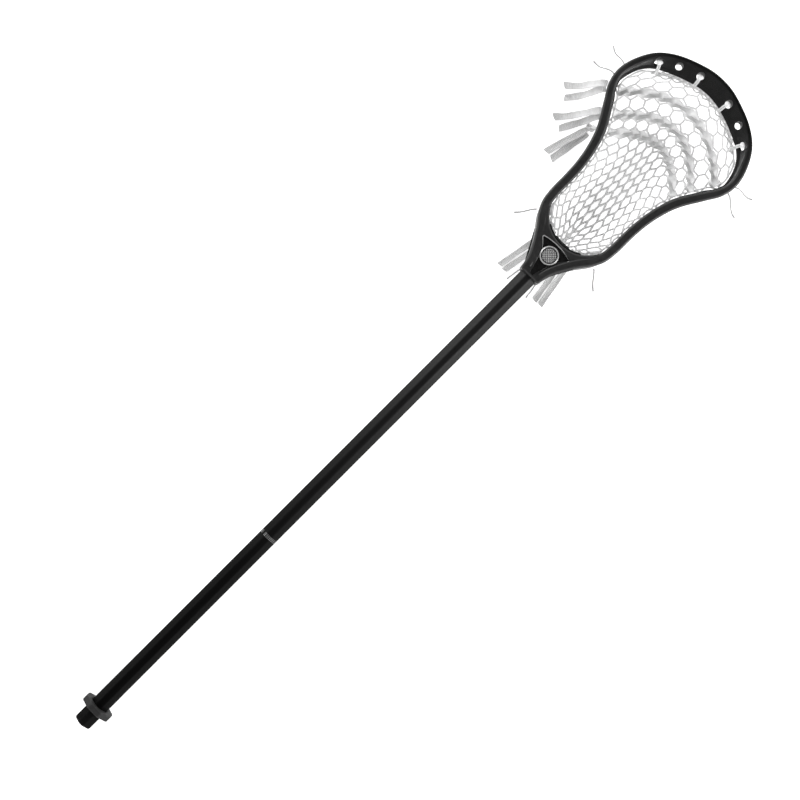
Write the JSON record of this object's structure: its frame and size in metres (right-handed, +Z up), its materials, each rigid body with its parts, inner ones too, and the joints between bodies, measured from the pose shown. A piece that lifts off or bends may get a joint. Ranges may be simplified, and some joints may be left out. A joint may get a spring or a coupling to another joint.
{
  "type": "lacrosse stick",
  "caption": "Field lacrosse stick: moulded head with a strung mesh pocket, laces and loose tails, on an octagonal shaft with a flanged rubber end cap that pulls off.",
  "frame": {"origin": "under the middle of the stick's length, on the surface that it lies on", "axes": "+X along the stick towards the tip of the scoop, +Y across the head, +Z up, out of the open face; the shaft climbs 1.5 degrees towards the head, because the pocket is deeper than the end cap's flange"},
  "size_m": [1.0488, 0.2617, 0.0879],
  "materials": {
    "head_plastic": "satin black moulded nylon with a fine grain",
    "shaft_paint": "satin charcoal that fades to black towards the butt",
    "rubber": "matt",
    "foam": "matt closed-cell foam",
    "badge_silver": "satin silver",
    "badge_grey": "matt, with a plain raised pattern",
    "screw_steel": "zinc plated",
    "mesh_knit": "white knitted cord netting",
    "string": "white twisted nylon cord",
    "lace": "white woven flat lace"
  },
  "bodies": {
    "stick": {"head_frame": "head_plastic", "ball_stop_pad": "foam", "badge_ring": "badge_silver", "badge_face": "badge_grey", "head_screw": "screw_steel", "shaft": "shaft_paint", "mesh_pocket": "mesh_knit", "top_string": "string", "bottom_string": "string", "side_string_left": "string", "side_string_right": "string", "shooting_lace_1": "lace", "shooting_lace_2": "lace", "shooting_lace_3": "lace", "top_knot_1": "string", "top_knot_2": "string", "top_knot_3": "string", "top_knot_4": "string", "shooting_tail_1a": "lace", "shooting_tail_1b": "lace", "shooting_tail_2a": "lace", "shooting_tail_2b": "lace", "shooting_neck_3": "lace", "shooting_knot": "lace", "shooting_tail_3a": "lace", "shooting_tail_3b": "lace", "side_tail_left_1": "string", "side_tail_left_2": "string", "side_tail_right_1": "string", "side_tail_right_2": "string", "side_tail_left_3": "string", "side_tail_right_3": "string", "bottom_tail_left_outer": "lace", "bottom_tail_left_inner": "lace", "throat_tail_left": "string", "bottom_tail_right_outer": "lace", "bottom_tail_right_inner": "lace", "throat_tail_right": "string"},
    "cap": {"end_cap": "rubber"}
  },
  "joints": [
    {"name": "end_cap_pull", "type": "slide", "parent": "stick", "child": "cap", "axis": [-0.9997, 0, -0.0261], "range_m": [0, 0.045]}
  ]
}
